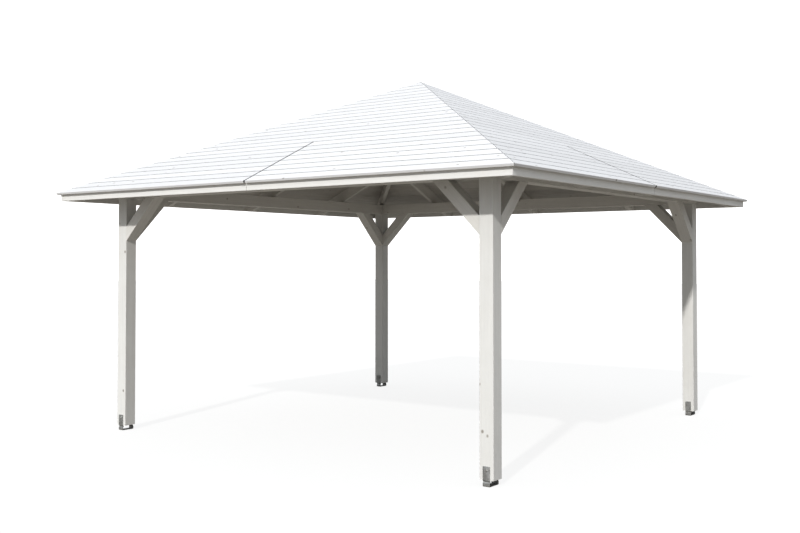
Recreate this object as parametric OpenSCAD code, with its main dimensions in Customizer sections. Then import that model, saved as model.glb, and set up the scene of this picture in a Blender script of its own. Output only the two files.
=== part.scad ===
// Garden gazebo: four posts on steel shoes, a ring of beams with knee braces,
// and a boarded pyramid roof on hip, common and jack rafters.
// The origin is on the ground at the middle of the plan, with +Z up.
// The front faces -Y and the right side faces +X.

/* [Posts] */
// Side of each square post
post_side = 120; // [100:1:140]
// Distance between the centres of neighbouring posts
post_spacing = 4160; // [3000:10:5000]
// Height of the posts' feet above the ground
post_lift = 48; // [30:1:80]
// Length of each post
post_length = 2220; // [1900:5:2600]

/* [Shoes] */
// Width of the flat steel bar that each shoe is bent from
shoe_width = 60; // [40:1:80]
// Thickness of the flat steel bar
shoe_thickness = 5; // [4:0.5:8]
// Height of the two upright plates of each shoe
shoe_height = 150; // [120:1:220]
// Radius of the rounded corners of the upright plates
shoe_corner = 6; // [2:0.5:12]
// Inner radius of the two bends at the bottom of each shoe
shoe_bend = 5; // [3:0.5:8]
// Depth of the crimp pressed into each plate, which carries the post's foot
crimp_depth = 8; // [4:0.5:10]
// Height of the crimp, up to the post's foot
crimp_height = 22; // [16:1:26]
// Diameter of the anchor hole in the bottom of each shoe
anchor_hole = 14; // [9:0.5:18]

/* [Beams and braces] */
// Height and width of each beam
beam_side = 120; // [100:1:160]
// Depth of each knee brace, square to its length. Its width is the posts' side.
brace_depth = 100; // [70:1:110]
// How far the outer edge of a brace runs down the post and along the beam
brace_leg = 417; // [300:1:600]

/* [Roof] */
// Half of the roof's width, from the middle to the edge of the boards
roof_half = 2563; // [2400:1:2800]
// Slope of the roof in degrees
roof_pitch = 25; // [20:0.5:30]
// Thickness of the roof boards
board_thickness = 22; // [16:1:28]
// Width of every rafter
rafter_width = 45; // [35:1:60]
// Depth of every rafter, square to the slope
rafter_depth = 120; // [110:1:135]
// Width of the level seat cut under each rafter, from the beam's outer face
rafter_seat = 65; // [40:1:90]

/* [Fascia] */
// Thickness of the fascia boards
fascia_thickness = 28; // [18:1:34]
// Height of the fascia boards at their outer face
fascia_height = 72; // [50:1:90]
// How far the roof boards reach past the fascia
drip_edge = 38; // [15:1:50]
// Width of the open butt joint in the middle of each fascia
fascia_joint = 2; // [1:0.5:4]

/* [Hidden] */
$fn = 48;
slope = tan(roof_pitch);
board_drop = board_thickness / cos(roof_pitch);
rafter_drop = rafter_depth / cos(roof_pitch);

post_middle = post_spacing / 2;
post_inner = post_middle - post_side / 2;
beam_bottom = post_lift + post_length;
beam_top = beam_bottom + beam_side;
beam_outer = post_middle + beam_side / 2;
beam_inner = post_middle - beam_side / 2;

// The rafters' bottom line meets the beam's top where the seat ends.
seat_end = beam_outer - rafter_seat;
roof_over_seat = beam_top + rafter_drop + board_drop;
apex_height = roof_over_seat + seat_end * slope;
eave_top = apex_height - roof_half * slope;

fascia_outer = roof_half - drip_edge;
fascia_inner = fascia_outer - fascia_thickness;
fascia_bottom = under_boards(fascia_outer) - fascia_height;

// Half of the plan width that a hip rafter takes along X or Y
hip_reach = rafter_width / sqrt(2);
// Plan distance along a hip for each unit of plan distance along X or Y
hip_run = sqrt(2);
// Bottom of the crimp in a shoe's plate, and the middle of its deepest line
crimp_bottom = post_lift - crimp_height;
crimp_middle = post_lift - crimp_height / 2;

SIDES = ["front", "right", "back", "left"];
CORNERS = ["front_left", "front_right", "back_right", "back_left"];
BRACES = [
    for (i = [0:3]) for (j = [0:1])
        str("brace_", SIDES[i], "_", SIDES[(i + 3 + 2 * j) % 4])
];
JACKS = [
    for (i = [0:3]) for (j = [0:1])
        str("jack_rafter_", SIDES[i], "_", SIDES[(i + 3 + 2 * j) % 4])
];

// Height of the underside of the boards at a distance r from the middle
function under_boards(r) = apex_height - board_drop - r * slope;

// Turns a piece drawn on the front side to side i, anticlockwise from above.
module on_side(i) rotate([0, 0, 90 * i]) children();

// Places a piece drawn about a post's axis at corner i, without turning it.
module at_corner(i) {
    x = (i == 1 || i == 2) ? post_middle : -post_middle;
    y = (i >= 2) ? post_middle : -post_middle;
    translate([x, y, 0]) children();
}

// Extrudes an outline of (distance from the middle, height) across the front.
module across_front(width) {
    rotate([90, 0, -90])
        translate([0, 0, -width / 2])
            linear_extrude(width) children();
}

// One post, from its foot to the underside of the beams
module post() {
    color("white")
        translate([-post_side / 2, -post_side / 2, post_lift])
            cube([post_side, post_side, post_length]);
}

// A U that is open at the top, with round bends at its two lower corners
module rounded_u(half_width, bottom, bend) {
    union() {
        translate([-half_width, bottom + bend])
            square([2 * half_width, shoe_height]);
        translate([-half_width + bend, bottom])
            square([2 * (half_width - bend), shoe_height]);
        for (y = [-1, 1])
            translate([y * (half_width - bend), bottom + bend])
                circle(bend);
    }
}

// The dent of one crimp: two slopes from the face at y to a flat bottom. The
// side is 1 or -1, and the outline starts a little behind the face.
module crimp_outline(y, side) {
    back = y + shoe_thickness / 2;
    polygon([
        [side * back, crimp_bottom],
        [side * y, crimp_bottom],
        [side * (y - crimp_depth), crimp_middle - 1],
        [side * (y - crimp_depth), crimp_middle + 1],
        [side * y, post_lift],
        [side * back, post_lift]
    ]);
}

// A shoe seen from the side: a bar bent into a U. A crimp dents each plate
// inwards, and the post's foot stands on the crimps' upper slopes.
module shoe_outline() {
    inside = post_side / 2;
    outside = inside + shoe_thickness;
    difference() {
        rounded_u(outside, 0, shoe_bend + shoe_thickness);
        difference() {
            rounded_u(inside, shoe_thickness, shoe_bend);
            for (side = [-1, 1]) crimp_outline(inside, side);
        }
        for (side = [-1, 1]) crimp_outline(outside, side);
    }
}

// Face of a shoe's plates, with its four corners rounded
module plate_face() {
    wide = shoe_width / 2 - shoe_corner;
    union() {
        translate([-wide, 0]) square([2 * wide, shoe_height]);
        translate([-shoe_width / 2, shoe_corner])
            square([shoe_width, shoe_height - 2 * shoe_corner]);
        for (x = [-wide, wide]) for (z = [shoe_corner, shoe_height - shoe_corner])
            translate([x, z]) circle(shoe_corner);
    }
}

// A shoe: one flat bar bent into a U that clasps the post and lies on the
// ground, with a hole for a ground anchor
module shoe() {
    reach = post_side / 2 + shoe_thickness;
    color("gray")
        difference() {
            intersection() {
                rotate([90, 0, 90])
                    translate([0, 0, -shoe_width / 2])
                        linear_extrude(shoe_width) shoe_outline();
                rotate([90, 0, 0])
                    translate([0, 0, -reach - 1])
                        linear_extrude(2 * reach + 2) plate_face();
            }
            translate([0, 0, -1]) cylinder(h = shoe_thickness + 2, d = anchor_hole);
        }
}

// A beam across the front. Its ends are halved over the next beams, and the
// front and back beams keep the upper half.
module beam(keeps_upper) {
    lap_height = keeps_upper ? beam_bottom - 1 : beam_bottom + beam_side / 2;
    lap_depth = beam_side / 2 + 1;
    color("white")
        difference() {
            translate([-beam_outer, -beam_outer, beam_bottom])
                cube([2 * beam_outer, beam_side, beam_side]);
            for (x = [-beam_outer - 1, beam_inner])
                translate([x, -beam_outer - 1, lap_height])
                    cube([beam_side + 1, beam_side + 2, lap_depth]);
        }
}

// A knee brace at the right end of the front beam, flush with the post and beam
module brace() {
    upper_leg = brace_leg - brace_depth * sqrt(2);
    color("white")
        translate([0, -post_middle - post_side / 2, 0])
            rotate([90, 0, 0])
                mirror([0, 0, 1])
                    linear_extrude(post_side)
                        polygon([
                            [post_inner, beam_bottom - brace_leg],
                            [post_inner, beam_bottom - upper_leg],
                            [post_inner - upper_leg, beam_bottom],
                            [post_inner - brace_leg, beam_bottom]
                        ]);
}

// Outline of a rafter in (distance from the middle, height). The distances
// are multiplied by run, which is 1, or the square root of 2 along a hip.
module rafter_outline(run, end) {
    function low(r) = under_boards(r) - rafter_drop;
    tail_start = (under_boards(0) - rafter_drop - fascia_bottom) / slope;
    polygon([
        [0, under_boards(0)],
        [end * run, under_boards(end)],
        [end * run, fascia_bottom],
        [tail_start * run, fascia_bottom],
        [beam_outer * run, low(beam_outer)],
        [beam_outer * run, beam_top],
        [seat_end * run, beam_top],
        [0, low(0)]
    ]);
}

// The space over the front between the two hip rafters
module front_bay() {
    far = roof_half + 100;
    linear_extrude(apex_height + 100)
        polygon([
            [0, -hip_reach],
            [far - hip_reach, -far],
            [hip_reach - far, -far]
        ]);
}

// A rafter square to the front eave, at x, cut where it meets the hips
module square_rafter(x) {
    color("white")
        intersection() {
            translate([x, 0, 0])
                across_front(rafter_width)
                    rafter_outline(1, fascia_inner);
            front_bay();
        }
}

// The space under the boards of one pair of opposite slopes
module under_slopes() {
    rotate([90, 0, 0])
        translate([0, 0, -roof_half])
            linear_extrude(2 * roof_half)
                polygon([
                    [0, under_boards(0)],
                    [fascia_inner, under_boards(fascia_inner)],
                    [fascia_inner, 0],
                    [-fascia_inner, 0],
                    [-fascia_inner, under_boards(fascia_inner)]
                ]);
}

// The hip rafter over the front left corner. Its top follows both slopes.
// It starts at a distance from the middle line, measured along the hip.
module hip_rafter(start) {
    color("white")
        intersection() {
            rotate([0, 0, -45])
                difference() {
                    across_front(rafter_width)
                        rafter_outline(hip_run, roof_half);
                    translate([-rafter_width, -start, 0])
                        cube([2 * rafter_width, start + 1, apex_height + 1]);
                }
            under_slopes();
            rotate([0, 0, 90]) under_slopes();
        }
}

// The fascia on the front, in two boards that meet in the middle
module fascia(half_length) {
    color("white")
        for (side = [0, 1])
            mirror([side, 0, 0])
                translate([half_length / 2 + fascia_joint / 4, 0, 0])
                    across_front(half_length - fascia_joint / 2)
                        polygon([
                            [fascia_inner, fascia_bottom],
                            [fascia_outer, fascia_bottom],
                            [fascia_outer, under_boards(fascia_outer)],
                            [fascia_inner, under_boards(fascia_inner)]
                        ]);
}

// The boarding of the front slope, mitred along both hips
module roof_slope() {
    edge_in = board_thickness * sin(roof_pitch);
    edge_down = board_thickness * cos(roof_pitch);
    color("white")
        intersection() {
            across_front(2 * roof_half + 2)
                polygon([
                    [0, under_boards(0)],
                    [0, apex_height],
                    [roof_half, eave_top],
                    [roof_half - edge_in, eave_top - edge_down]
                ]);
            linear_extrude(apex_height + 1)
                polygon([[0, 0], [roof_half, -roof_half], [-roof_half, -roof_half]]);
        }
}

for (i = [0:3]) {
    at_corner(i) post();
    at_corner(i) shoe();
    on_side(i) beam(i % 2 == 0);
    on_side(i) mirror([1, 0, 0]) brace();
    on_side(i) brace();
    on_side(i) hip_rafter(i % 2 == 0 ? rafter_width / 2 : 0);
    on_side(i) square_rafter(0);
    on_side(i) square_rafter(-fascia_outer / 2);
    on_side(i) square_rafter(fascia_outer / 2);
    on_side(i) fascia(i % 2 == 0 ? fascia_outer : fascia_inner);
    on_side(i) roof_slope();
}
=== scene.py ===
# %% [markdown]
# # A white garden gazebo
# The gazebo is a kit: four square posts on steel shoes, a ring of beams with knee braces, and
# a boarded pyramid roof on rafters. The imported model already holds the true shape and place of
# every part, so this lesson gives each part the things that a carpenter's work shows up close:
# rounded arrises, single boards, screws, and white paint over real grain.

# %% Load the frame
import math
import random

import bmesh
import bpy
from mathutils import Matrix, Vector


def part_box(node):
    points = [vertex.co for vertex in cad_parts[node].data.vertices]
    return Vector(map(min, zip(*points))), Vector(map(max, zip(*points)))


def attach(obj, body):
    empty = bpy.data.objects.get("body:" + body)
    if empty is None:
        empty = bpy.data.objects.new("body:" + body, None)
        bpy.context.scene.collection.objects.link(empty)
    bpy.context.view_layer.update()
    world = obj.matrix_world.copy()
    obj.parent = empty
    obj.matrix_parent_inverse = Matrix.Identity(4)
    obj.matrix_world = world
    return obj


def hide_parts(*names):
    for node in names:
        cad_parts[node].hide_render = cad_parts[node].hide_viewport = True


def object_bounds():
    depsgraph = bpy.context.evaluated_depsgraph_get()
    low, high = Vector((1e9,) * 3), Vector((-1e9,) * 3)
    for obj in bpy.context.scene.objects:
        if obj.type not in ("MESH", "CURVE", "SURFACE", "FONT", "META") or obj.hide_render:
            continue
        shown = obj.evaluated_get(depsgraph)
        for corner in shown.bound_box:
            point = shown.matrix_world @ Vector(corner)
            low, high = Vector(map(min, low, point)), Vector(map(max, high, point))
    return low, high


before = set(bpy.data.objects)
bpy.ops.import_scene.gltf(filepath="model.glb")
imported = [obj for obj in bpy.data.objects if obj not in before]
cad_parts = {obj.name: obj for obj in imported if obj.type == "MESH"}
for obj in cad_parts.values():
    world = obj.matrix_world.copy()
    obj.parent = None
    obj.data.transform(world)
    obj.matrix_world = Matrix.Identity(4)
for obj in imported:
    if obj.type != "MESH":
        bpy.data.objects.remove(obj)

cad_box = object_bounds()
UP = Vector((0, 0, 1))
SIDES = ["front", "right", "back", "left"]
CORNERS = ["front_left", "front_right", "back_right", "back_left"]
OUT = {"front": Vector((0, -1, 0)), "right": Vector((1, 0, 0)),
       "back": Vector((0, 1, 0)), "left": Vector((-1, 0, 0))}
chance = random.Random(25)
print("The gazebo measures", [round(side, 3) for side in cad_box[1] - cad_box[0]], "m")

# %% [markdown]
# ## Where the viewer stands
# A gazebo is looked at by a person who stands in the garden, a little to the right of the
# front, with their eyes at 1.66 m. The camera could be aimed at a point, but a building looks
# right only when its upright lines stay upright, so the camera is held level within a degree or
# so and the view is slid down with the lens shift, as with an architect's camera.

# %% Camera
EYE = Vector((5.891, -8.445, 1.662))
TURN = math.radians(36.085)
LOOK_UP = math.radians(1.33)
LENS_MM = 44.84
VIEW_SLIDE = -0.0369


def looking_back(turn, rise):
    """The way from the object to a viewer who stands at that turn and height angle."""
    flat = math.cos(rise)
    return Vector((math.sin(turn) * flat, -math.cos(turn) * flat, math.sin(rise)))


scene = bpy.context.scene
camera = bpy.data.objects.new("camera", bpy.data.cameras.new("camera"))
scene.collection.objects.link(camera)
camera.location = EYE
camera.rotation_mode = "QUATERNION"
camera.rotation_quaternion = (-looking_back(TURN, -LOOK_UP)).to_track_quat("-Z", "Y")
camera.data.lens = LENS_MM
camera.data.sensor_width = 36
camera.data.shift_y = VIEW_SLIDE
camera.data.clip_start = 0.1
camera.data.clip_end = 200
scene.camera = camera
print("The eye is", round(EYE.length, 2), "m from the middle of the plan")

# %% [markdown]
# ## Light
# White timber shows its shape only by light and shade. One sun from the front right gives the
# crisp side. The soft side comes from a sky with three smooth parts: an even part, a part that
# is brighter overhead, and a part that is brighter in front. It is made of directions and no
# picture, and the viewer sees it as plain white studio paper.

# %% Sun
SUN_WAY = Vector((0.225, -0.824, 0.521)).normalized()
SUN_POWER = 1.72
SUN_SPREAD = math.radians(1.8)
SUN_COLOUR = (1.0, 0.985, 0.955)

sun = bpy.data.objects.new("sun", bpy.data.lights.new("sun", "SUN"))
scene.collection.objects.link(sun)
sun.rotation_mode = "QUATERNION"
sun.rotation_quaternion = SUN_WAY.to_track_quat("Z", "Y")
sun.data.energy = SUN_POWER
sun.data.angle = SUN_SPREAD
sun.data.color = SUN_COLOUR
print("The sun stands", round(math.degrees(math.asin(SUN_WAY.z)), 1), "degrees high")

# %% Sky
SKY_EVEN = 0.345
SKY_ABOVE = 0.46
SKY_FRONT = 0.22
SKY_TINT = (0.925, 0.96, 1.0, 1)
FRONT_WAY = (0.45, -0.85, 0.1)
ABOVE_FADE = 2
FRONT_FADE = 1.5


def link(tree, source, target):
    """Joins the output of one node to the input of another."""
    tree.links.new(source, target)


def add(tree, kind, **settings):
    """A new node, with its properties and its inputs set by name."""
    node = tree.nodes.new(kind)
    for name, value in settings.items():
        if hasattr(node, name):
            setattr(node, name, value)
        else:
            node.inputs[name.replace("_", " ")].default_value = value
    return node


def towards(tree, way, fade, strength):
    """Light from one way, that fades with the angle away from it."""
    place = add(tree, "ShaderNodeTexCoord").outputs["Generated"]
    facing = add(tree, "ShaderNodeVectorMath", operation="DOT_PRODUCT")
    link(tree, place, facing.inputs[0])
    facing.inputs[1].default_value = Vector(way).normalized()
    lit = add(tree, "ShaderNodeMath", operation="MAXIMUM")
    link(tree, facing.outputs["Value"], lit.inputs[0])
    lit.inputs[1].default_value = 0
    faded = add(tree, "ShaderNodeMath", operation="POWER")
    link(tree, lit.outputs[0], faded.inputs[0])
    faded.inputs[1].default_value = fade
    scaled = add(tree, "ShaderNodeMath", operation="MULTIPLY")
    link(tree, faded.outputs[0], scaled.inputs[0])
    scaled.inputs[1].default_value = strength
    return scaled.outputs[0]


def sky():
    """A soft sky that the viewer sees as plain white paper."""
    world = bpy.data.worlds.new("sky")
    world.use_nodes = True
    tree = world.node_tree
    tree.nodes.clear()
    output = add(tree, "ShaderNodeOutputWorld")
    total = add(tree, "ShaderNodeMath", operation="ADD")
    link(tree, towards(tree, UP, ABOVE_FADE, SKY_ABOVE), total.inputs[0])
    link(tree, towards(tree, FRONT_WAY, FRONT_FADE, SKY_FRONT), total.inputs[1])
    even = add(tree, "ShaderNodeMath", operation="ADD")
    link(tree, total.outputs[0], even.inputs[0])
    even.inputs[1].default_value = SKY_EVEN
    soft = add(tree, "ShaderNodeBackground", Color=SKY_TINT)
    link(tree, even.outputs[0], soft.inputs["Strength"])
    paper = add(tree, "ShaderNodeBackground", Color=(1, 1, 1, 1))
    rays = add(tree, "ShaderNodeLightPath")
    mix = add(tree, "ShaderNodeMixShader")
    link(tree, rays.outputs["Is Camera Ray"], mix.inputs[0])
    link(tree, soft.outputs[0], mix.inputs[1])
    link(tree, paper.outputs[0], mix.inputs[2])
    link(tree, mix.outputs[0], output.inputs[0])
    return world


scene.world = sky()
scene.view_settings.view_transform = "Standard"
scene.view_settings.look = "High Contrast"
print("The sky is", SKY_EVEN, "all round,", SKY_ABOVE, "more above and", SKY_FRONT, "more in front")

# %% [markdown]
# ## Floor
# The floor is a wide pale sheet. It throws back about as much light as a lawn does, so that the
# underside of the roof keeps its shade, but the viewer sees it as pale paper with a faint shadow.

# %% Floor
FLOOR_HALF = 60
LAWN = [0.38 * part for part in (1, 0.94, 0.85)]
PAPER_WHITE = (0.86, 0.86, 0.85, 1)
PAPER_SHARE = 0.85
PAPER_GLOW = 0.71


def floor_paint():
    """Pale paper to the viewer, and a mid tone to every ray that only carries light."""
    material = bpy.data.materials.new("floor_paper")
    material.use_nodes = True
    tree = material.node_tree
    tree.nodes.clear()
    output = add(tree, "ShaderNodeOutputMaterial")
    bounce = add(tree, "ShaderNodeBsdfDiffuse", Color=(*LAWN, 1))
    pale = add(tree, "ShaderNodeBsdfDiffuse", Color=PAPER_WHITE)
    glow = add(tree, "ShaderNodeEmission", Color=(1, 1, 1, 1), Strength=PAPER_GLOW)
    paper = add(tree, "ShaderNodeMixShader")
    paper.inputs[0].default_value = PAPER_SHARE
    link(tree, pale.outputs[0], paper.inputs[1])
    link(tree, glow.outputs[0], paper.inputs[2])
    rays = add(tree, "ShaderNodeLightPath")
    mix = add(tree, "ShaderNodeMixShader")
    link(tree, rays.outputs["Is Camera Ray"], mix.inputs[0])
    link(tree, bounce.outputs[0], mix.inputs[1])
    link(tree, paper.outputs[0], mix.inputs[2])
    link(tree, mix.outputs[0], output.inputs[0])
    return material


ground = bmesh.new()
bmesh.ops.create_grid(ground, x_segments=1, y_segments=1, size=FLOOR_HALF)
ground_mesh = bpy.data.meshes.new("floor")
ground.to_mesh(ground_mesh)
ground.free()
ground_mesh.materials.append(floor_paint())
floor = bpy.data.objects.new("floor", ground_mesh)
scene.collection.objects.link(floor)
print("The floor is", 2 * FLOOR_HALF, "m wide")

# %% [markdown]
# ## Painted timber
# Every stick is planed softwood under a thin white stain. The stain hides the colour of the wood
# but not its grain: growth rings, fibres and knots stay as faint tones and as relief. A picture
# of wood would repeat and smear round the corners. Here each timber carries its own
# coordinates, along and across its length, in a point attribute called grain, and the rings are
# true cylinders round that length. The end of a timber then shows its rings with no extra work.
# A second attribute, called tone, makes one timber a little whiter than the next.

# %% A small kit for materials


def stretched(tree, source, scale):
    """The vectors of the source, stretched by the scale."""
    node = add(tree, "ShaderNodeVectorMath", operation="MULTIPLY")
    link(tree, source, node.inputs[0])
    node.inputs[1].default_value = scale
    return node.outputs[0]


def ramped(tree, value, stops):
    """The colour ramp over the value, with stops of (place, grey or colour)."""
    node = tree.nodes.new("ShaderNodeValToRGB")
    line = node.color_ramp.elements
    while len(line) < len(stops):
        line.new(0.5)
    for stop, (place, tone) in zip(line, stops):
        stop.position = place
        stop.color = (*tone, 1) if hasattr(tone, "__len__") else (tone, tone, tone, 1)
    link(tree, value, node.inputs[0])
    return node.outputs[0]


def blended(tree, how, amount, first, second):
    """Two colours blended. The amount and the second colour are a value or a socket."""
    node = add(tree, "ShaderNodeMix", data_type="RGBA", blend_type=how)
    for place, value in ((0, amount), (6, first), (7, second)):
        socket = node.inputs[place]
        if isinstance(value, bpy.types.NodeSocket):
            link(tree, value, socket)
        else:
            socket.default_value = value
    return node.outputs[2]


# %% The figure of softwood
RING_GAP = 0.0045
# At a scale of 1, a wave pattern repeats after this length.
WAVE_PERIOD = 2 * math.pi / 20
RING_STRETCH = (0.12, 1, 1)
FIBRE_STRETCH = (9, 420, 420)
STREAK_STRETCH = (1.6, 34, 34)
KNOT_STRETCH = (0.85, 1, 1)
KNOT_CORE = [(0.0, 1.0), (0.052, 0.9), (0.075, 0.35), (0.1, 0.0)]


def figure_of(tree, grain):
    """The rings, fibres, streaks and patches of a timber, as values from 0 to 1."""
    rings = add(tree, "ShaderNodeTexWave", wave_type="RINGS", rings_direction="X",
                Scale=WAVE_PERIOD / RING_GAP, Distortion=5.0, Detail=2.0, Detail_Scale=0.35)
    link(tree, stretched(tree, grain, RING_STRETCH), rings.inputs["Vector"])
    fibres = add(tree, "ShaderNodeTexNoise", Scale=1.0, Detail=4.0, Roughness=0.6)
    link(tree, stretched(tree, grain, FIBRE_STRETCH), fibres.inputs["Vector"])
    streaks = add(tree, "ShaderNodeTexNoise", Scale=1.0, Detail=3.0, Roughness=0.55)
    link(tree, stretched(tree, grain, STREAK_STRETCH), streaks.inputs["Vector"])
    patches = add(tree, "ShaderNodeTexNoise", Scale=3.2, Detail=4.0, Roughness=0.6)
    link(tree, grain, patches.inputs["Vector"])
    return [node.outputs["Fac"] for node in (rings, fibres, streaks, patches)]


def knot_cores(tree, grain):
    """The knots of a timber: 1 in the core of a knot, and 0 away from it."""
    spots = add(tree, "ShaderNodeTexVoronoi", feature="F1", Scale=6.5)
    link(tree, stretched(tree, grain, KNOT_STRETCH), spots.inputs["Vector"])
    return ramped(tree, spots.outputs["Distance"], KNOT_CORE)


print("Growth rings every", RING_GAP * 1000, "mm")

# %% White stain on softwood
KNOT_BROWN = (0.30, 0.275, 0.245, 1)
WORN = [(0.35, (0.80, 0.78, 0.74)), (0.65, (1.0, 1.0, 1.0))]
RING_RELIEF = 0.45
GRAIN_RELIEF = 0.0006


def darkened(tree, share, colour, value, stops):
    """The colour, darkened by a share of the ramp over the value."""
    return blended(tree, "MULTIPLY", share, colour, ramped(tree, value, stops))


def white_stain(name, paint, knots, figure, wear):
    """A thin white stain: its colour, and how strongly knots, figure and wear show."""
    material = bpy.data.materials.new(name)
    material.use_nodes = True
    tree = material.node_tree
    shader = tree.nodes["Principled BSDF"]
    grain = add(tree, "ShaderNodeAttribute", attribute_name="grain").outputs["Vector"]
    tone = add(tree, "ShaderNodeAttribute", attribute_name="tone").outputs["Fac"]
    rings, fibres, streaks, patches = figure_of(tree, grain)

    white = ramped(tree, tone, [(0.0, [c * 0.97 for c in paint]), (1.0, [c * 1.02 for c in paint])])
    with_rings = darkened(tree, figure * 0.5, white, rings, [(0.0, 0.7), (1.0, 1.0)])
    with_streaks = darkened(tree, figure, with_rings, streaks, [(0.3, 0.72), (0.62, 1.0)])
    with_fibres = darkened(tree, figure * 0.8, with_streaks, fibres, [(0.3, 0.7), (0.6, 1.0)])
    aged = darkened(tree, wear, with_fibres, patches, WORN)
    amount = add(tree, "ShaderNodeMath", operation="MULTIPLY")
    link(tree, knot_cores(tree, grain), amount.inputs[0])
    amount.inputs[1].default_value = knots
    knotted = blended(tree, "MIX", amount.outputs[0], aged, KNOT_BROWN)
    link(tree, knotted, shader.inputs["Base Color"])
    gloss = ramped(tree, streaks, [(0.2, 0.62), (0.8, 0.46)])
    link(tree, gloss, shader.inputs["Roughness"])

    relief = add(tree, "ShaderNodeMath", operation="MULTIPLY_ADD")
    link(tree, rings, relief.inputs[0])
    relief.inputs[1].default_value = RING_RELIEF
    link(tree, fibres, relief.inputs[2])
    bump = add(tree, "ShaderNodeBump", Strength=0.35, Distance=GRAIN_RELIEF)
    link(tree, relief.outputs[0], bump.inputs["Height"])
    link(tree, bump.outputs[0], shader.inputs["Normal"])
    return material


post_white = white_stain("white_stain_on_posts", (0.745, 0.742, 0.73), 0.9, 0.14, 0.15)
beam_white = white_stain("white_stain_on_beams", (0.74, 0.73, 0.71), 0.6, 0.16, 0.15)
rafter_white = white_stain("white_stain_on_rafters", (0.76, 0.75, 0.73), 0.5, 0.16, 0.2)
fascia_white = white_stain("white_stain_on_fascia", (0.775, 0.77, 0.757), 0.35, 0.12, 0.1)
roof_white = white_stain("white_stain_on_roof", (0.728, 0.727, 0.738), 0.8, 0.06, 0.05)
# The underside of the roof boards takes a darker, warmer copy of the roof's white: painted shade
# under the roof.
shaded_ceiling_white = white_stain("white_stain_under_roof_darkened_as_shade", (0.64, 0.625, 0.605), 0.6, 0.22, 0.25)
# Nearly black: it stands for dust in the joints and also for the shade deep in them, so it is partly
# painted shade.
joint_shade_and_dust = white_stain("painted_shade_and_dust_in_joints", (0.055, 0.054, 0.053), 0.0, 0.2, 0.2)
print("Made seven stains")

# %% [markdown]
# ## Galvanised steel
# The shoes and their bolts are dipped in zinc, which dries in dull patches called spangle. A
# plain grey metal would look like plastic, so cells of slightly different tone and gloss are
# laid over it.

# %% Zinc


def zinc(name, colour, rough):
    """Dull galvanised steel with spangle a few millimetres across."""
    material = bpy.data.materials.new(name)
    material.use_nodes = True
    tree = material.node_tree
    shader = tree.nodes["Principled BSDF"]
    place = add(tree, "ShaderNodeTexCoord").outputs["Object"]
    cells = add(tree, "ShaderNodeTexVoronoi", feature="F1", Scale=160)
    link(tree, place, cells.inputs["Vector"])
    grime = add(tree, "ShaderNodeTexNoise", Scale=38, Detail=5.0)
    link(tree, place, grime.inputs["Vector"])
    flakes = ramped(tree, cells.outputs["Color"], [(0.2, 0.6), (0.8, 1.0)])
    spangle = blended(tree, "MULTIPLY", 0.35, (*colour, 1), flakes)
    tones = ramped(tree, grime.outputs["Fac"], [(0.3, (0.62, 0.61, 0.60)), (0.6, (1, 1, 1))])
    link(tree, blended(tree, "MULTIPLY", 0.8, spangle, tones), shader.inputs["Base Color"])
    link(tree, ramped(tree, grime.outputs["Fac"], [(0.3, rough + 0.12), (0.7, rough - 0.08)]),
         shader.inputs["Roughness"])
    shader.inputs["Metallic"].default_value = 0.85
    bump = add(tree, "ShaderNodeBump", Strength=0.2, Distance=0.0003)
    link(tree, cells.outputs["Distance"], bump.inputs["Height"])
    link(tree, bump.outputs[0], shader.inputs["Normal"])
    return material


shoe_zinc = zinc("zinc_on_shoes", (0.54, 0.545, 0.54), 0.5)
fixing_zinc = zinc("zinc_on_fixings", (0.66, 0.66, 0.65), 0.38)
print("Made the zinc")

# %% [markdown]
# ## Tools that every timber needs
# A timber is sawn, planed, and laid in its place. Four small tools do this work here: a block,
# a plane for the arrises, a saw cut that closes itself, and a pen that writes the grain.

# %% Block, plane, saw and grain


def block(low, high):
    """A squared block between two opposite corners."""
    bm = bmesh.new()
    bmesh.ops.create_cube(bm, size=1)
    bmesh.ops.scale(bm, vec=high - low, verts=bm.verts)
    bmesh.ops.translate(bm, vec=(low + high) / 2, verts=bm.verts)
    return bm


def round_arrises(bm, edges, radius, steps=3):
    """Rounds the given edges, as a plane and sandpaper do."""
    bmesh.ops.bevel(bm, geom=edges, offset=radius, offset_type="OFFSET", affect="EDGES",
                    segments=steps, profile=0.5, material=-1)


def saw(bm, point, way):
    """Cuts off what lies beyond the point in that way, and returns the face that closes it."""
    everything = bm.verts[:] + bm.edges[:] + bm.faces[:]
    made = bmesh.ops.bisect_plane(bm, geom=everything, plane_co=point, plane_no=way, clear_outer=True)
    rim = [e for e in made["geom_cut"] if isinstance(e, bmesh.types.BMEdge)]
    return bmesh.ops.edgeloop_fill(bm, edges=rim)["faces"] if rim else []


def write_grain(bm, along, heart=0.05):
    """Writes where each point lies in its timber, and the timber's own tone."""
    along = along.normalized()
    across = along.cross(UP if abs(along.z) < 0.9 else Vector((0, 1, 0))).normalized()
    deep = along.cross(across)
    middle = sum((v.co for v in bm.verts), Vector()) / len(bm.verts)
    shift = Vector((chance.uniform(-40, 40),
                    chance.uniform(-heart, heart),
                    chance.uniform(-heart, heart)))
    turn = chance.uniform(-0.5, 0.5)
    tone = chance.random()
    place = bm.verts.layers.float_vector.new("grain")
    shade = bm.verts.layers.float.new("tone")
    for v in bm.verts:
        d = v.co - middle
        side, rise = d.dot(across), d.dot(deep)
        v[place] = shift + Vector((d.dot(along),
                                   side * math.cos(turn) - rise * math.sin(turn),
                                   side * math.sin(turn) + rise * math.cos(turn)))
        v[shade] = tone


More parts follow.
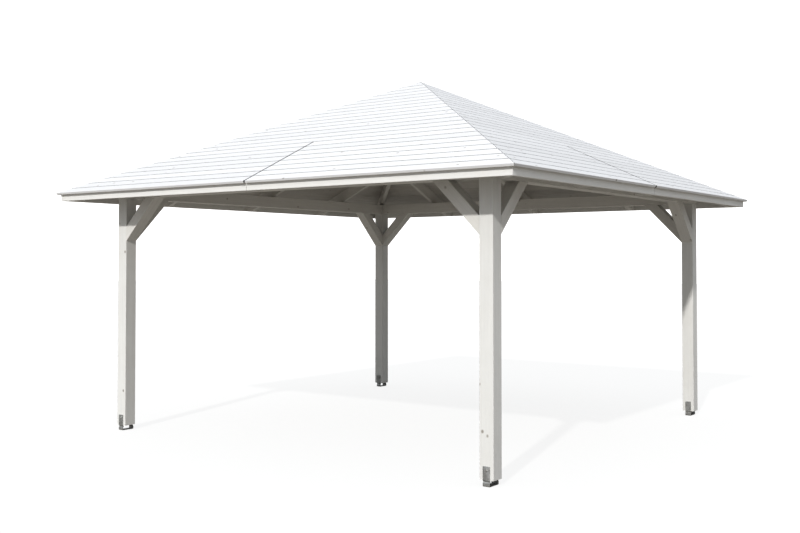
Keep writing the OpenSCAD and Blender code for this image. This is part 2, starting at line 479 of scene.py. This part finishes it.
def finish_piece(bm, name, finish, slot, *nodes):
    """Makes a piece with one finish or a list of them, in place of the CAD nodes, if any."""
    mesh = bpy.data.meshes.new(name)
    bm.to_mesh(mesh)
    bm.free()
    for material in finish if isinstance(finish, list) else [finish]:
        mesh.materials.append(material)
    piece = bpy.data.objects.new(name, mesh)
    scene.collection.objects.link(piece)
    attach(piece, "root")
    if nodes:
        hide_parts(*nodes)
    return piece


def long_edges(bm, least):
    """The edges that are at least that long."""
    return [e for e in bm.edges if e.calc_length() >= least]


print("The tools are ready")

# %% [markdown]
# ## Posts
# A post is a planed 120 mm square timber. It could stay a plain block, but a planed timber
# always has eased arrises, and the thin highlight along them is what makes it look like wood.

# %% Posts
STICK_ARRIS = 0.003

for corner in CORNERS:
    low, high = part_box("post_" + corner)
    post = block(low, high)
    round_arrises(post, long_edges(post, 1.0), STICK_ARRIS)
    write_grain(post, UP)
    finish_piece(post, "timber_post_" + corner, post_white, "post_paint", "post_" + corner)
print("Posts", round((high - low).z, 3), "m long and", round((high - low).x, 3), "m square")

# %% [markdown]
# ## Beams
# The four beams make a ring on the posts and are halved over each other at the corners. The
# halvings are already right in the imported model, so a copy of it is taken. Its loose triangles
# are merged and its flat faces made whole, because only then can its real edges be planed.

# %% Beams
WELD = 0.00002
FLAT = math.radians(0.5)


def copy_of(node):
    """A bmesh of a CAD node, with its triangles joined into whole flat faces."""
    bm = bmesh.new()
    bm.from_mesh(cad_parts[node].data)
    bmesh.ops.remove_doubles(bm, verts=bm.verts, dist=WELD)
    bmesh.ops.dissolve_limit(bm, angle_limit=FLAT, verts=bm.verts, edges=bm.edges)
    return bm


for side in SIDES:
    beam = copy_of("beam_" + side)
    round_arrises(beam, long_edges(beam, 1.0), STICK_ARRIS)
    write_grain(beam, UP.cross(OUT[side]))
    finish_piece(beam, "timber_beam_" + side, beam_white, "beam_paint", "beam_" + side)

# %% [markdown]
# ## Knee braces
# A knee brace is a stick at 45 degrees between a post and a beam, and flush with both. A
# carpenter rounds the arrises of the whole stick first and saws its two ends afterwards, and the
# same order is kept here, so that the rounded edges run cleanly into the cuts.

# %% Braces


def knee_brace(node):
    """A stick at 45 degrees, sawn upright at the post and level at the beam."""
    low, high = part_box(node)
    size = high - low
    run = 0 if size.x > size.y else 1
    leg, width = size[run], size[1 - run]
    shape = copy_of(node)
    levels = sorted({round(v.co.z, 4) for v in shape.verts})
    shape.free()
    depth = (levels[1] - levels[0]) / math.sqrt(2)
    middle = (low + high) / 2
    outwards = Vector((0, 0, 0))
    outwards[run] = math.copysign(1, middle[run])
    corner = middle + outwards * leg / 2 + UP * leg / 2
    along = (UP - outwards).normalized()
    across = along.cross(outwards).normalized()
    bm = block(Vector((-leg, -width / 2, -depth / 2)), Vector((leg, width / 2, depth / 2)))
    round_arrises(bm, long_edges(bm, leg), STICK_ARRIS)
    heart = corner - (outwards + UP) * leg / 2 + (outwards + UP).normalized() * depth / 2
    turn = Matrix((along, across, along.cross(across))).transposed().to_4x4()
    bmesh.ops.transform(bm, matrix=Matrix.Translation(heart) @ turn, verts=bm.verts)
    saw(bm, corner, outwards)
    saw(bm, corner, UP)
    write_grain(bm, along)
    return bm


for i, side in enumerate(SIDES):
    for end in (SIDES[i - 1], SIDES[(i + 1) % 4]):
        name = f"brace_{side}_{end}"
        finish_piece(knee_brace(name), "timber_" + name, beam_white, "brace_paint", name)
print("Made 8 knee braces")

# %% [markdown]
# ## Rafters
# Hip rafters run down the four corners, a common rafter down the middle of each slope, and two
# jack rafters beside it die into the hips. Their seats on the beams and their bevels against the
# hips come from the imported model.

# %% Rafters
RAFTER_ARRIS = 0.0025

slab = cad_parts["roof_front"].data
top = max((face for face in slab.polygons if face.normal.z > 0), key=lambda face: face.area)
pitch = math.acos(top.normal.z)
FALL = math.tan(pitch)
print("The roof slopes at", round(math.degrees(pitch), 2), "degrees")


def rafter(node, out):
    """A rafter that falls in the way out, with its long arrises eased."""
    bm = copy_of(node)
    round_arrises(bm, long_edges(bm, 0.4), RAFTER_ARRIS, 2)
    write_grain(bm, out - UP * FALL)
    finish_piece(bm, "timber_" + node, rafter_white, "rafter_paint", node)


for i, side in enumerate(SIDES):
    rafter("common_rafter_" + side, OUT[side])
    rafter(f"jack_rafter_{side}_{SIDES[i - 1]}", OUT[side])
    rafter(f"jack_rafter_{side}_{SIDES[(i + 1) % 4]}", OUT[side])
for corner in CORNERS:
    first, second = corner.split("_")
    rafter("hip_rafter_" + corner, OUT[first] + OUT[second])
print("Made 16 rafters")

# %% [markdown]
# ## Roof boards
# Each slope is laid with tongued and grooved boards, level from hip to hip. On top the boards
# stand a few millimetres apart. The faces inside each gap, and the edge of each board that looks
# down the slope, take a near black that stands for dust and also for the shade in the gap, so it
# is partly painted shade; it draws a thin grey line. Underneath, their edges are chamfered, so
# every joint is a small V. The lowest eight courses are too wide for one board, so two boards
# meet there near the common rafter. The slope could be one sheet with painted lines, but real
# joints catch light and shade, so every board is made.

# %% The slope's own frame
COVER = 0.1216
RECESS = 0.0058
ARRIS = 0.0008
CHAMFER = 0.003
TONGUE = 0.006
GROOVE = TONGUE * 1.1
HIP_JOINT = 0.003
BUTTED_COURSES = 8
# The next three hold a value for the front and back, and one for the right and left.
BUTT_JOINT = [0.015, 0.024]
BUTT_PLACE = [0.006, -0.05]
EAVE_TRIM = [0.006, 0.015]

half = cad_box[1].x
heights = sorted(v.co.z for v in slab.vertices if abs(v.co.x) < 0.001 and abs(v.co.y) < 0.001)
apex = heights[-1]
board_thick = (apex - heights[0]) * math.cos(pitch)
slope_length = half / math.cos(pitch)
eave_top = apex - half * FALL
to_front_slope = Matrix.Translation((0, -half, eave_top)) @ Matrix.Rotation(pitch, 4, "X")
print("Boards", round(board_thick * 1000, 1), "mm thick on a slope", round(slope_length, 3), "m long")

# %% Shaping the edge of a board


def edge_strips(bm, way, low, high):
    """The strips of the board's edge that look in that way, between two depths."""
    return [f for f in bm.faces
            if f.normal.dot(way) > 0.99 and low < f.calc_center_median().z < high]


def push(bm, faces, way):
    """Extrudes the faces by that way."""
    made = bmesh.ops.extrude_face_region(bm, geom=faces)
    moved = [v for v in made["geom"] if isinstance(v, bmesh.types.BMVert)]
    bmesh.ops.translate(bm, vec=way, verts=moved)


def lengthwise(bm, depth):
    """The edges that run along the board at that depth."""
    return [e for e in bm.edges if all(abs(v.co.z - depth) < 0.0001 for v in e.verts)
            and abs(e.verts[0].co.y - e.verts[1].co.y) < 0.0001]


print("A board covers", COVER * 1000, "mm of the slope")

# %% One board
# A board is painted all over, with finish 0, before these two take their own faces.
JOINT, UNDERSIDE = 1, 2
EAVE_EDGE = 0.005
BOARD_HEART = 0.09


def paint_board(bm, lowest):
    """Gives a board's joints their near black of dust and painted shade, and its underside its darker
    white.
    """
    for face in bm.faces:
        middle = face.calc_center_median()
        looks_down_slope = face.normal.y < -0.3
        eave_edge = lowest and looks_down_slope and middle.y < EAVE_EDGE
        if face.normal.z < -0.5 and middle.z < -board_thick + CHAMFER:
            face.material_index = UNDERSIDE
        # Faces deeper than the top arris, and faces that look down the slope, take the near black:
        # dust and painted shade.
        elif not eave_edge and (middle.z < -ARRIS or looks_down_slope):
            face.material_index = JOINT


def roof_board(start, end, left, right, lowest):
    """A tongued and grooved board from start to end up the slope, mitred at the hips."""
    up_slope = Vector((0, 1, 0))
    shoulder, root = -(board_thick - TONGUE) / 2, -(board_thick + TONGUE) / 2
    bm = block(Vector((left, start, -board_thick)), Vector((right, end - RECESS, 0)))
    for depth in (shoulder, root):
        bmesh.ops.bisect_plane(bm, geom=bm.verts[:] + bm.edges[:] + bm.faces[:],
                               plane_co=(0, 0, depth), plane_no=(0, 0, 1))
    push(bm, edge_strips(bm, up_slope, -board_thick, shoulder), up_slope * RECESS)
    push(bm, edge_strips(bm, up_slope, root, shoulder), up_slope * TONGUE)
    if not lowest:
        push(bm, edge_strips(bm, -up_slope, root, shoulder), up_slope * GROOVE)
    round_arrises(bm, lengthwise(bm, 0), ARRIS, 2)
    round_arrises(bm, lengthwise(bm, -board_thick), CHAMFER, 1)
    paint_board(bm, lowest)
    bmesh.ops.transform(bm, matrix=to_front_slope, verts=bm.verts)
    for hand in (-1, 1):
        way = Vector((hand, 1, 0)).normalized()
        # The mitre faces at the hips take the near black too: dust and painted shade in the hip
        # joint.
        for cut in saw(bm, -way * HIP_JOINT / 2, way):
            cut.material_index = JOINT
    write_grain(bm, Vector((1, 0, 0)), BOARD_HEART)
    return bm


def gather(total, part):
    """Adds one bmesh to another, with its grain and tone."""
    spare = bpy.data.meshes.new("spare")
    part.to_mesh(spare)
    part.free()
    total.from_mesh(spare)
    bpy.data.meshes.remove(spare)


print("One board can be made")

# %% [markdown]
# ## Nails
# Nails hold the boards to the rafters, so their heads stand in rows that show where the rafters
# run: two rows over each common rafter and one over each jack rafter. Grey dots in the paint
# would do from far away, but a low cone of zinc also catches the sun. It has only eight sides,
# because there are hundreds of them.

# %% Nail heads
NAIL_HEAD = 0.0035
NAIL_RISE = 0.0006
NAIL_TAPER = 0.8
NAIL_SHARES = (0.25, 0.75)
HIP_MARGIN = 0.03
MIDDLE_NAIL = 0.019

courses = math.ceil((slope_length + max(EAVE_TRIM)) / COVER)


def nail_heads(slope, x):
    """Two low heads in every board above the rafter at x on the slope."""
    for k in range(courses):
        for share in NAIL_SHARES:
            up = (k + share) * COVER
            if abs(x) + up * math.cos(pitch) > half - HIP_MARGIN:
                continue
            head = bmesh.new()
            bmesh.ops.create_cone(head, cap_ends=True, segments=8, radius1=NAIL_HEAD,
                                  radius2=NAIL_HEAD * NAIL_TAPER, depth=NAIL_RISE * 2)
            bmesh.ops.translate(head, vec=(x, up, 0), verts=head.verts)
            bmesh.ops.transform(head, matrix=to_front_slope, verts=head.verts)
            gather(slope, head)


jack_low, jack_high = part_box("jack_rafter_front_right")
jack_place = (jack_low.x + jack_high.x) / 2
nail_rows = [-jack_place, -MIDDLE_NAIL, MIDDLE_NAIL, jack_place]
print("The nails stand in rows at", [round(x, 3) for x in nail_rows], "m")

# %% All the boards
SPARE_LENGTH = 0.05

finishes = [roof_white, joint_shade_and_dust, shaded_ceiling_white]
reach = half + SPARE_LENGTH
for i, side in enumerate(SIDES):
    slope = bmesh.new()
    gap, place = BUTT_JOINT[i % 2], BUTT_PLACE[i % 2]
    for k in range(courses):
        spans = [(-reach, reach)]
        if k < BUTTED_COURSES:
            spans = [(-reach, place - gap / 2), (place + gap / 2, reach)]
        for left, right in spans:
            start = max(0, k * COVER - EAVE_TRIM[i % 2])
            end = (k + 1) * COVER - EAVE_TRIM[i % 2]
            gather(slope, roof_board(start, end, left, right, k == 0))
    turn = Matrix.Rotation(i * math.pi / 2, 3, "Z")
    bmesh.ops.rotate(slope, cent=(0, 0, 0), matrix=turn, verts=slope.verts)
    print("The", side, "slope has", courses, "courses and", len(slope.faces), "faces")
    finish_piece(slope, "boards_" + side, finishes, "roof_paint", "roof_" + side)
    nails = bmesh.new()
    for x in nail_rows:
        nail_heads(nails, x)
    bmesh.ops.rotate(nails, cent=(0, 0, 0), matrix=turn, verts=nails.verts)
    finish_piece(nails, "nails_" + side, fixing_zinc, "roof_paint")

# %% [markdown]
# ## Fascia
# The fascia boards close the ends of the rafters below the eaves. Each side has two boards that
# meet in the middle. The two sawn ends are really apart in the imported model, and they take the
# near black of the joints, which is partly dust and partly painted shade between them.

# %% Fascia boards
for side in SIDES:
    along = UP.cross(OUT[side])
    fascia = copy_of("fascia_" + side)
    round_arrises(fascia, long_edges(fascia, 1.0), STICK_ARRIS)
    # The sawn ends in the middle take the near black: dust and painted shade between them.
    for face in fascia.faces:
        sawn_end = abs(face.normal.dot(along)) > 0.9
        if sawn_end and face.calc_center_median().xy.length < half:
            face.material_index = JOINT
    write_grain(fascia, along)
    finish_piece(fascia, "boards_fascia_" + side, [fascia_white, joint_shade_and_dust], "fascia_paint",
                 "fascia_" + side)
print("Made 4 fascias")

# %% [markdown]
# ## Shoes
# Each post stands in a shoe bent from flat bar. A crimp in each of its plates carries the foot.
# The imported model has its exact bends, so a copy is taken, and only the sharp edges are eased.

# %% Shoes
SHOE_ARRIS = 0.0008
SHARP = math.radians(60)

for corner in CORNERS:
    shoe = copy_of("shoe_" + corner)
    sharp = [e for e in shoe.edges if e.is_manifold and e.calc_face_angle() > SHARP]
    round_arrises(shoe, sharp, SHOE_ARRIS, 2)
    finish_piece(shoe, "steel_shoe_" + corner, shoe_zinc, "shoe_steel", "shoe_" + corner)
print("Made 4 shoes")

# %% [markdown]
# ## Coach screws
# A coach screw holds each plate to the post. Only its washer and its six-sided head show. The
# head could be a flat disc, but its six facets catch the light, so it is drawn with them.

# %% Coach screws
WASHER = 0.011
WASHER_THICK = 0.002
HEAD = 0.0085
HEAD_THICK = 0.006
HEAD_MIDDLE = 0.0055
SCREW_ARRIS = 0.0004
SCREW_DROP = 0.03


def coach_screw(place, out):
    """A washer and a six-sided head, on a plate that looks that way."""
    bm = bmesh.new()
    made = bmesh.ops.create_cone(bm, cap_ends=True, segments=28, radius1=WASHER,
                                 radius2=WASHER, depth=WASHER_THICK)
    bmesh.ops.translate(bm, vec=(0, 0, WASHER_THICK / 2), verts=made["verts"])
    made = bmesh.ops.create_cone(bm, cap_ends=True, segments=6, radius1=HEAD,
                                 radius2=HEAD, depth=HEAD_THICK)
    bmesh.ops.translate(bm, vec=(0, 0, HEAD_MIDDLE), verts=made["verts"])
    rims = [e for e in bm.edges if e.is_manifold and e.calc_face_angle() > math.radians(80)
            and max(v.co.z for v in e.verts) > WASHER_THICK * 0.95
            and abs(e.verts[0].co.z - e.verts[1].co.z) < 1e-6]
    round_arrises(bm, rims, SCREW_ARRIS, 2)
    facing = out.to_track_quat("Z", "Y").to_matrix().to_4x4()
    bmesh.ops.transform(bm, matrix=Matrix.Translation(place) @ facing, verts=bm.verts)
    return bm


for corner in CORNERS:
    low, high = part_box("shoe_" + corner)
    middle = (low + high) / 2
    screws = bmesh.new()
    for out in (OUT["front"], OUT["back"]):
        face = high.y if out.y > 0 else low.y
        gather(screws, coach_screw(Vector((middle.x, face, high.z - SCREW_DROP)), out))
    finish_piece(screws, "coach_screws_" + corner, fixing_zinc, "shoe_steel")
print("Made 8 coach screws")

# %% [markdown]
# ## Size
# The box of the imported gazebo is printed. The dressed gazebo has to stay the size of the
# imported one.

# %% Size of the imported model
print("CAD", [tuple(round(c, 4) for c in corner) for corner in cad_box])
